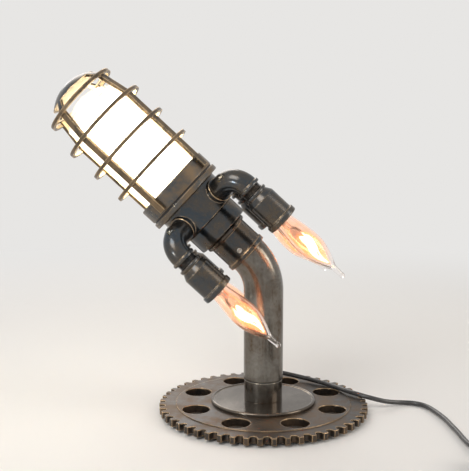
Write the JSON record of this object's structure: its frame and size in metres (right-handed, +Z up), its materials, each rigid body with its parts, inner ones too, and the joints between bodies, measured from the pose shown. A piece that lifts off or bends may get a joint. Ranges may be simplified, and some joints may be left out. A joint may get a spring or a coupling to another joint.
{
  "type": "rocket lamp",
  "caption": "Table lamp shaped as a rocket: a caged glass jar with flame bulbs for thrusters, on a bent pipe that swivels on a toothed base, with a rocker switch on the cord.",
  "frame": {"origin": "on the table, on the axis that the stem turns about, in the middle of the felt pad's lower face", "axes": "+Z up; the rocket's nose points to -X and up; -Y is the front that the picture shows"},
  "size_m": [0.3423, 0.3389, 0.2885],
  "materials": {
    "felt": "matt",
    "iron": "blue-black, edges rubbed to bronze",
    "bronze": "antique bronze",
    "steel": "aged, satin",
    "brass": "satin",
    "rubber": "semi-gloss",
    "plastic": "matt",
    "porcelain": "glazed",
    "glass": "clear",
    "filament": "glowing",
    "electrode": "matt grey"
  },
  "bodies": {
    "base": {"base_felt": "felt", "base_gear": "iron", "base_disc": "steel", "base_collar": "steel", "collar_nut": "steel", "swivel_washer": "rubber", "friction_washer": "brass", "swivel_nut": "steel", "cord_gland": "rubber", "cord_run": "rubber", "cord_coil": "rubber", "coil_tie": "plastic", "switch_base": "plastic", "switch_cover": "plastic", "plug_body": "plastic", "plug_pins": "brass"},
    "stem": {"stem_pipe": "steel", "stem_sleeve": "brass", "stem_coupling": "bronze", "hub_tail": "iron", "hub_body": "iron", "hub_flange": "bronze", "jar_gasket": "rubber", "glass_jar": "glass", "cage_band": "bronze", "cage_frame": "bronze", "cage_cap": "iron", "main_holder": "porcelain", "main_bulb_base": "brass", "main_bulb_glass": "glass", "main_filament": "filament", "inner_lead": "rubber", "thruster_leads": "rubber", "elbow_1": "iron", "cup_1": "iron", "holder_1": "porcelain", "bulb_base_1": "brass", "bulb_glass_1": "glass", "electrodes_1": "electrode", "elbow_2": "iron", "cup_2": "iron", "holder_2": "porcelain", "bulb_base_2": "brass", "bulb_glass_2": "glass", "electrodes_2": "electrode", "elbow_3": "iron", "cup_3": "iron", "holder_3": "porcelain", "bulb_base_3": "brass", "bulb_glass_3": "glass", "electrodes_3": "electrode", "elbow_4": "iron", "cup_4": "iron", "holder_4": "porcelain", "bulb_base_4": "brass", "bulb_glass_4": "glass", "electrodes_4": "electrode"},
    "rocker": {"switch_rocker": "plastic"}
  },
  "joints": [
    {"name": "stem_swivel", "type": "hinge", "parent": "base", "child": "stem", "pos_m": [0, 0, 0.0288], "axis": [0, 0, 1], "range_deg": [-90, 90]},
    {"name": "switch_rock", "type": "hinge", "parent": "base", "child": "rocker", "pos_m": [0.158, -0.148, 0.0108], "axis": [1, 0, 0], "range_deg": [-20, 0]}
  ]
}
